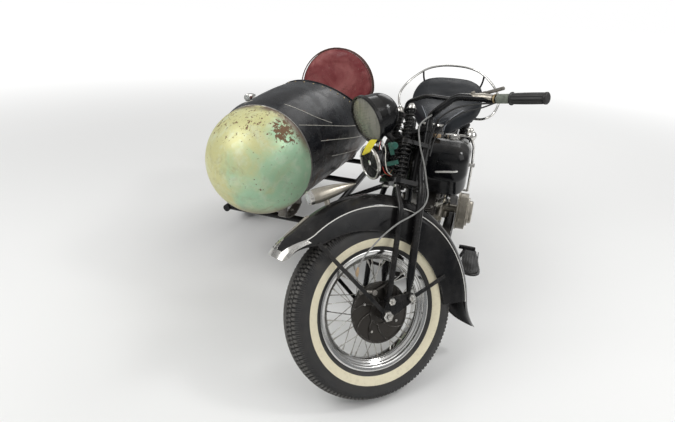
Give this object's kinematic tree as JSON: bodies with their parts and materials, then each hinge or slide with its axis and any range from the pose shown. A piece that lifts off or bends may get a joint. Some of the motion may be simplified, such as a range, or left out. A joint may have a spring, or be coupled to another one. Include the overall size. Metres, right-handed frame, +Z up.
{
  "type": "sidecar motorcycle",
  "caption": "Vintage motorcycle with a leading-link spring fork, finned vee engine, saddle tanks and a long two-up saddle, carrying an egg-shaped sidecar on its right side.",
  "frame": {"origin": "centre of the whole outfit's box, on the ground under it, as it stands on its three wheels", "axes": "+X forward along the motorcycle, +Y to the rider's left, +Z up; the sidecar is on the -Y side"},
  "size_m": [2.3948, 1.7068, 1.1255],
  "materials": {
    "tyre_rubber": "worn road tread with a cream side band",
    "rim_steel": "tarnished bright plate with rust specks",
    "black_enamel": "gloss black enamel, worn and dusty",
    "engine_alloy": "cast alloy, dulled and oily",
    "barrel_iron": "black-painted cast iron, oily",
    "bright_plate": "worn bright plate",
    "seat_leather": "grey-black hide, creased and scuffed",
    "maroon_leather": "dark maroon hide with pale piping",
    "grip_rubber": "ribbed black rubber",
    "lamp_glass": "aged cream fluted glass",
    "patina_sheet": "bare green-grey patina over rust",
    "steel_dull": "dull grey steel with surface rust",
    "chain_steel": "oily dark steel",
    "body_enamel": "worn black enamel with pale pinstripes and rust"
  },
  "bodies": {
    "chassis": {"main_frame": "black_enamel", "engine_cases": "engine_alloy", "cylinders": "barrel_iron", "primary_cover": "engine_alloy", "carburettor": "engine_alloy", "air_cleaner": "bright_plate", "exhaust": "steel_dull", "fuel_tanks": "black_enamel", "tank_caps": "bright_plate", "dash_panel": "black_enamel", "shift_lever": "bright_plate", "saddle": "seat_leather", "saddle_frame": "black_enamel", "grab_rail": "bright_plate", "battery_box": "black_enamel", "rear_fender": "black_enamel", "tail_lamp": "black_enamel", "footboards": "steel_dull", "drive_chain": "chain_steel", "sidecar_chassis": "black_enamel", "sidecar_body": "body_enamel", "sidecar_springs": "steel_dull", "sidecar_nose": "patina_sheet", "sidecar_seat_frame": "steel_dull", "sidecar_backrest": "maroon_leather", "sidecar_cushion": "maroon_leather", "sidecar_fender": "black_enamel", "sidecar_lamp": "bright_plate"},
    "front_wheel": {"front_tyre": "tyre_rubber", "front_rim": "rim_steel", "front_hub": "steel_dull"},
    "rear_wheel": {"rear_tyre": "tyre_rubber", "rear_rim": "rim_steel", "rear_hub": "steel_dull"},
    "sidecar_wheel": {"sidecar_tyre": "tyre_rubber", "sidecar_rim": "rim_steel", "sidecar_hub": "steel_dull"},
    "steering": {"rigid_fork": "black_enamel", "spring_fork": "black_enamel", "fork_springs": "black_enamel", "fork_rockers": "steel_dull", "front_fender": "black_enamel", "fender_tip": "bright_plate", "fender_braces": "black_enamel", "handlebar": "black_enamel", "grips": "grip_rubber", "hand_levers": "steel_dull", "headlamp_shell": "black_enamel", "headlamp_lens": "lamp_glass", "horn": "black_enamel", "brake_plate": "steel_dull", "fender_lamp": "black_enamel"}
  },
  "joints": [
    {"name": "steering_turn", "type": "hinge", "parent": "chassis", "child": "steering", "pos_m": [0.61518, 0.4576, 0.8], "axis": [-0.4695, 0, 0.8829], "range_deg": [0, 89.8]},
    {"name": "front_wheel_spin", "type": "hinge", "parent": "steering", "child": "front_wheel", "pos_m": [0.92805, 0.39763, 0.31951], "axis": [0.6744, 0.6455, 0.3586], "continuous": true},
    {"name": "rear_wheel_spin", "type": "hinge", "parent": "chassis", "child": "rear_wheel", "pos_m": [-0.54737, 0.4576, 0.3365], "axis": [0, 1, 0], "continuous": true},
    {"name": "sidecar_wheel_spin", "type": "hinge", "parent": "chassis", "child": "sidecar_wheel", "pos_m": [-0.29737, -0.7644, 0.3365], "axis": [0, 1, 0], "continuous": true}
  ]
}
